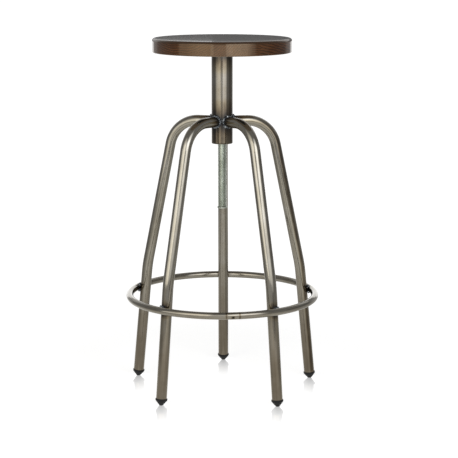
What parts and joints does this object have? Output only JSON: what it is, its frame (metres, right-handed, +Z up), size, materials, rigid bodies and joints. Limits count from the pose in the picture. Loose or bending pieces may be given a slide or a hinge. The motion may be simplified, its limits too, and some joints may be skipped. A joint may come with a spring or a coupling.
{
  "type": "bar stool",
  "caption": "Round wooden seat on a threaded height screw in a steel post, with bent tube legs welded round the post, a foot ring and black plastic glides.",
  "frame": {"origin": "on the floor under the axis of the centre post", "axes": "+Z up along the post and the height screw, +Y towards the leg at the back, +X to the right seen from the front"},
  "size_m": [0.4387, 0.4439, 0.798],
  "materials": {
    "oak_seat": "dark stained open grain wood under satin lacquer",
    "raw_steel": "bare drawn steel tube under clear satin lacquer, heat tinted near the welds",
    "plate_steel": "mill finish steel",
    "zinc_steel": "bright zinc plate",
    "weld_metal": "rippled weld bead, blue grey",
    "nylon": "turned nylon",
    "black_plastic": "moulded black plastic"
  },
  "bodies": {
    "frame": {"centre_post": "raw_steel", "guide_bush": "nylon", "screw_nut": "plate_steel", "foot_ring": "raw_steel", "leg_welds": "weld_metal", "ring_welds": "weld_metal", "leg_back": "raw_steel", "leg_left": "raw_steel", "leg_front_left": "raw_steel", "leg_front_right": "raw_steel", "leg_right": "raw_steel", "glide_back": "black_plastic", "glide_left": "black_plastic", "glide_front_left": "black_plastic", "glide_front_right": "black_plastic", "glide_right": "black_plastic"},
    "lift": {"stop_washer": "zinc_steel"},
    "seat": {"seat_board": "oak_seat", "seat_plate": "plate_steel", "seat_screws": "zinc_steel", "height_screw": "zinc_steel", "screw_weld": "weld_metal", "stop_screw": "zinc_steel"}
  },
  "joints": [
    {"name": "seat_lift", "type": "slide", "parent": "frame", "child": "lift", "axis": [0, 0, 1], "range_m": [0, 0.1433]},
    {"name": "seat_spin", "type": "hinge", "parent": "lift", "child": "seat", "pos_m": [0, 0, 0.6], "axis": [0, 0, 1], "range_deg": [0, 17190]}
  ],
  "couplings": [
    {"joint": "seat_lift", "follows": "seat_spin", "m_per_rad": 0.00047746}
  ]
}
